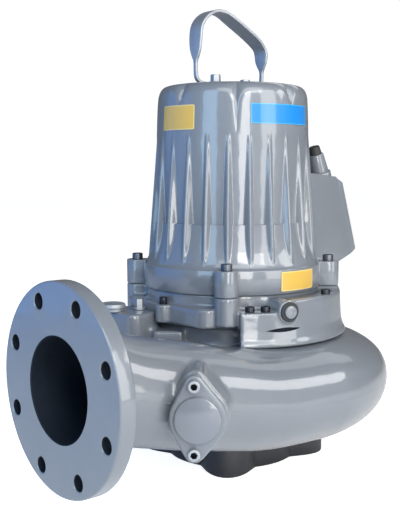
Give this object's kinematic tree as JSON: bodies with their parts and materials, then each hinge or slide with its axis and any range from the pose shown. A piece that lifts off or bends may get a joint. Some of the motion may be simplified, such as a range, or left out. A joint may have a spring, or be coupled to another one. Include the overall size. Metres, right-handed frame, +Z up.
{
  "type": "submersible sewage pump",
  "caption": "Upright submersible sewage pump on a black foot ring, with a finned motor housing, a scroll casing and a flanged side outlet.",
  "frame": {"origin": "on the floor, under the middle of the whole pump's bounding box", "axes": "+Z up along the pump's shaft; the outlet flange faces -X and the connection box is on the +X side; the pump's shaft stands at x 0.0880, y 0.0212"},
  "size_m": [0.6993, 0.5468, 0.7493],
  "materials": {
    "cast_enamel": "glossy grey enamel over cast iron",
    "base_enamel": "satin black enamel over cast iron",
    "stainless": "stainless steel",
    "dark_steel": "dark socket screws",
    "rubber": "matt black rubber",
    "blue_plate": "plain blue plate",
    "yellow_plate": "plain yellow plate",
    "bronze": "cast bronze"
  },
  "bodies": {
    "root": {"box_screw_1": "stainless", "box_screw_2": "stainless", "box_screw_3": "stainless", "box_screw_4": "stainless", "cable_gland": "cast_enamel", "connection_box": "cast_enamel", "connection_box_cover": "cast_enamel", "gland_sleeve": "rubber", "handle_bolt_1": "stainless", "handle_bolt_2": "stainless", "housing_bolt_1": "dark_steel", "housing_bolt_2": "dark_steel", "housing_bolt_3": "dark_steel", "housing_bolt_4": "dark_steel", "impeller": "bronze", "impeller_screw": "stainless", "ledge_screw_1": "dark_steel", "ledge_screw_2": "dark_steel", "lifting_handle": "stainless", "lower_label": "yellow_plate", "motor_housing": "cast_enamel", "oil_housing": "cast_enamel", "oil_plug": "stainless", "oil_plug_ring": "rubber", "outlet_flange": "cast_enamel", "port_cover": "cast_enamel", "port_gasket": "rubber", "port_screw_1": "stainless", "port_screw_2": "stainless", "shoulder_bolt": "stainless", "shoulder_cap": "stainless", "side_screw": "dark_steel", "suction_base": "base_enamel", "type_plate": "blue_plate", "upper_label": "yellow_plate", "volute_casing": "cast_enamel", "wear_ring": "stainless"}
  },
  "joints": []
}
